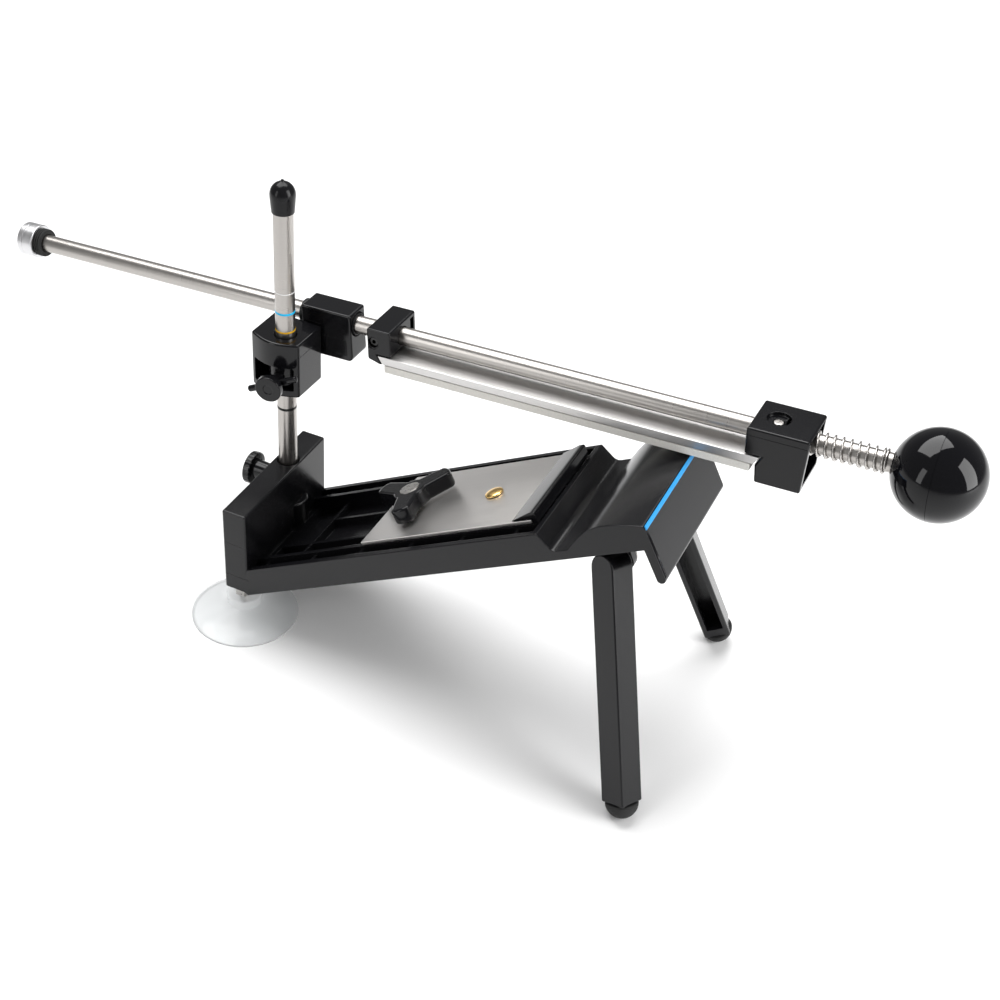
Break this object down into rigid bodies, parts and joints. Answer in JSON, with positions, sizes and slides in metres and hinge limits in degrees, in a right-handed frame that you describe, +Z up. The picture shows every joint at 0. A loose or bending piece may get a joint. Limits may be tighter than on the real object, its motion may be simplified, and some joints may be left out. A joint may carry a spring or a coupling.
{
  "type": "guided-rod knife sharpener",
  "caption": "Knife sharpener on suction cups and folding legs: a stone clamped on a steel rod slides and pivots on a post above a sloping blade table.",
  "frame": {"origin": "centre of the upright wall's underside, midway between the two suction cups", "axes": "+X along the tray from the post towards the ball handle, +Y across it, +Z up the post"},
  "size_m": [0.4177, 0.123, 0.1855],
  "materials": {
    "black_plastic": "satin moulded black plastic",
    "ball_phenolic": "polished black ball with a fine mould line",
    "cap_vinyl": "dipped black vinyl cap",
    "black_rubber": "matt black rubber",
    "bush_nylon": "black nylon bush",
    "stainless_steel": "drawn and brushed stainless steel",
    "aluminium": "satin aluminium",
    "stone_grit": "cream bonded abrasive stone",
    "brass": "polished brass button",
    "blue_tape": "blue edge strip",
    "clear_vinyl": "clear soft vinyl"
  },
  "bodies": {
    "base": {"base_body": "black_plastic", "table_edge_strip": "blue_tape", "suction_cup_near": "clear_vinyl", "suction_cup_far": "clear_vinyl", "cup_stud_near": "stainless_steel", "cup_stud_far": "stainless_steel", "cup_nut_near": "stainless_steel", "cup_nut_far": "stainless_steel", "leg_pin_near": "stainless_steel", "leg_pin_far": "stainless_steel"},
    "leg_near": {"leg_near": "black_plastic", "foot_near": "black_rubber"},
    "leg_far": {"leg_far": "black_plastic", "foot_far": "black_rubber"},
    "post_lock": {"post_lock_knob": "black_plastic"},
    "blade_guide": {"guide_plate": "stainless_steel", "guide_stop": "black_plastic", "guide_button": "brass", "guide_nut": "stainless_steel"},
    "guide_knob": {"guide_knob": "black_plastic", "knob_inlay": "stainless_steel", "guide_screw": "stainless_steel"},
    "post": {"post": "stainless_steel", "post_cap": "cap_vinyl"},
    "collar": {"height_collar": "black_plastic"},
    "thumbscrew": {"collar_thumbscrew": "black_plastic", "collar_cross_pin": "black_plastic"},
    "swivel": {"swivel_block": "black_plastic", "tilt_pin": "stainless_steel"},
    "arm": {"guide_block": "black_plastic"},
    "sleeve": {"guide_sleeve": "bush_nylon"},
    "rod": {"guide_rod": "stainless_steel", "ball_handle": "ball_phenolic", "rod_end_collar": "aluminium", "rod_end_screw": "stainless_steel", "bumper_ring_1": "black_rubber", "bumper_ring_2": "black_rubber", "bumper_ring_3": "black_rubber", "rear_stone_clamp": "black_plastic", "rear_clamp_screw": "stainless_steel", "stone_blank": "aluminium", "sharpening_stone": "stone_grit", "carriage_spring": "stainless_steel"},
    "front_clamp": {"front_stone_clamp": "black_plastic", "front_clamp_screw": "stainless_steel"}
  },
  "joints": [
    {"name": "leg_near_fold", "type": "hinge", "parent": "base", "child": "leg_near", "pos_m": [0.1574, -0.0263, 0.07396], "axis": [0.1547, 0.9475, -0.2798], "range_deg": [0, 75]},
    {"name": "leg_far_fold", "type": "hinge", "parent": "base", "child": "leg_far", "pos_m": [0.1574, 0.0263, 0.07396], "axis": [-0.1547, 0.9475, 0.2798], "range_deg": [0, 75]},
    {"name": "post_lock_turn", "type": "hinge", "parent": "base", "child": "post_lock", "pos_m": [-0.0054, 0.0108, 0.0294], "axis": [-1, 0, 0], "range_deg": [-180, 180]},
    {"name": "blade_guide_slide", "type": "slide", "parent": "base", "child": "blade_guide", "axis": [0.8752, 0, 0.4837], "range_m": [-0.018, 0.018]},
    {"name": "guide_knob_turn", "type": "hinge", "parent": "blade_guide", "child": "guide_knob", "pos_m": [0.06384, 0, 0.05264], "axis": [-0.4837, 0, 0.8752], "range_deg": [-180, 180]},
    {"name": "post_turn", "type": "hinge", "parent": "base", "child": "post", "pos_m": [0, 0.0108, 0.04], "axis": [0, 0, 1], "range_deg": [-30, 30]},
    {"name": "height_slide", "type": "slide", "parent": "post", "child": "collar", "axis": [0, 0, 1], "range_m": [0, 0.045]},
    {"name": "thumbscrew_turn", "type": "hinge", "parent": "collar", "child": "thumbscrew", "pos_m": [0, 0.0108, 0.08575], "axis": [0.1045, -0.9945, 0], "range_deg": [-180, 180]},
    {"name": "swivel_turn", "type": "hinge", "parent": "collar", "child": "swivel", "pos_m": [0, 0.0108, 0.0895], "axis": [0, 0, 1], "range_deg": [-20, 20]},
    {"name": "arm_tilt", "type": "hinge", "parent": "swivel", "child": "arm", "pos_m": [0.00601, 0.02904, 0.094], "axis": [-0.0279, -0.9996, 0], "range_deg": [0, 35]},
    {"name": "rod_roll", "type": "hinge", "parent": "arm", "child": "sleeve", "pos_m": [0.01049, 0.02891, 0.10319], "axis": [0.9973, -0.0279, 0.0684], "range_deg": [-2.5, 2.5]},
    {"name": "rod_slide", "type": "slide", "parent": "sleeve", "child": "rod", "axis": [0.9973, -0.0279, 0.0684], "range_m": [-0.009, 0.121]},
    {"name": "front_clamp_slide", "type": "slide", "parent": "rod", "child": "front_clamp", "axis": [0.9973, -0.0279, 0.0684], "range_m": [0, 0.012], "stiffness_N_per_m": 300, "springref_m": -0.002, "deforming": ["carriage_spring"]}
  ]
}
